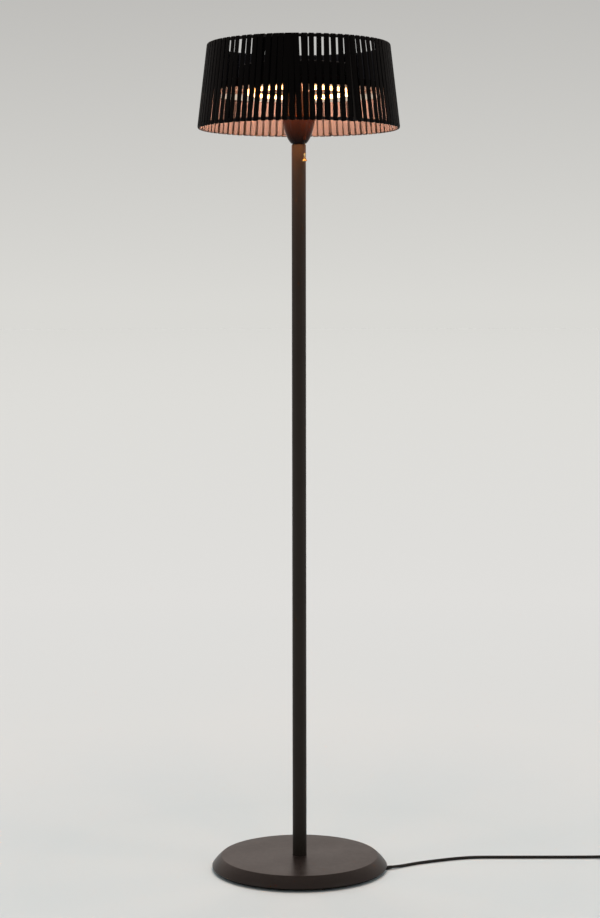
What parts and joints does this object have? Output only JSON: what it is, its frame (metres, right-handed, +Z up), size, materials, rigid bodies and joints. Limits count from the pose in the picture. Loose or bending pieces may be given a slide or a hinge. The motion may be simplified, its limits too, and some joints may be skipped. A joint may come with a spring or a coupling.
{
  "type": "standing infrared patio heater",
  "caption": "Standing electric infrared heater: round weighted base, slim pole, drum shade wound with flat cord round a ring lamp and reflector, pull switch and mains cord.",
  "frame": {"origin": "on the floor, on the axis of the pole", "axes": "+Z up along the pole; -Y is the front, towards the pull switch; the mains cord leaves towards +X"},
  "size_m": [1.1811, 0.5102, 2.1],
  "materials": {
    "base_paint": "fine matt powder coat, dark bronze grey",
    "pole_paint": "fine matt powder coat, darker bronze grey",
    "bronze_gloss": "glossy bronze black lacquer",
    "plated_steel": "zinc plated steel",
    "iron": "raw casting",
    "polished_reflector": "polished aluminium dish",
    "quartz": "clear quartz tube",
    "filament": "tungsten coil, glowing when on",
    "dark_ceramic": "heat-proof ceramic",
    "brass": "polished brass",
    "black_rubber": "soft matt rubber",
    "cord_sheath": "smooth dark sheath",
    "shade_cord": "flat glossy black cord",
    "dark_plastic": "moulded plastic"
  },
  "bodies": {
    "stand": {"ballast_plate": "iron", "base_cover": "base_paint", "base_plate": "plated_steel", "bottom_hoop": "pole_paint", "column": "bronze_gloss", "cord_coil": "cord_sheath", "cord_tail": "cord_sheath", "cord_tie": "black_rubber", "cord_wrap_1": "shade_cord", "cord_wrap_2": "shade_cord", "cord_wrap_3": "shade_cord", "cord_wrap_4": "shade_cord", "cord_wrap_5": "shade_cord", "cord_wrap_6": "shade_cord", "cord_wrap_7": "shade_cord", "cord_wrap_8": "shade_cord", "cup": "bronze_gloss", "finial_nut": "bronze_gloss", "flange_screw_1": "plated_steel", "flange_screw_2": "plated_steel", "flange_screw_3": "plated_steel", "foot_1": "black_rubber", "foot_2": "black_rubber", "foot_3": "black_rubber", "foot_4": "black_rubber", "lamp_clip_1": "plated_steel", "lamp_clip_2": "plated_steel", "lamp_clip_3": "plated_steel", "lamp_filament": "filament", "lamp_holder_1": "dark_ceramic", "lamp_holder_2": "dark_ceramic", "lamp_tube": "quartz", "mains_cord": "cord_sheath", "plug_body": "dark_plastic", "plug_pin_1": "brass", "plug_pin_2": "brass", "pole": "pole_paint", "pole_flange": "plated_steel", "pole_top_plug": "plated_steel", "reflector": "polished_reflector", "shade_rib_1": "pole_paint", "shade_rib_2": "pole_paint", "shade_rib_3": "pole_paint", "shade_rib_4": "pole_paint", "shade_spider": "plated_steel", "stem": "plated_steel", "stem_nut": "plated_steel", "strain_relief": "black_rubber", "supply_lead": "cord_sheath", "switch_body": "dark_plastic", "switch_ferrule": "brass", "terminal_block": "dark_plastic", "thermal_cutout": "plated_steel", "tilt_switch": "dark_plastic", "top_cover": "pole_paint", "top_hoop": "pole_paint"},
    "pull": {"pull_cord": "cord_sheath", "pull_pendant": "brass"}
  },
  "joints": [
    {"name": "switch_pull", "type": "slide", "parent": "stand", "child": "pull", "axis": [0, 0, -1], "range_m": [0, 0.008], "stiffness_N_per_m": 250, "springref_m": -0.002}
  ]
}
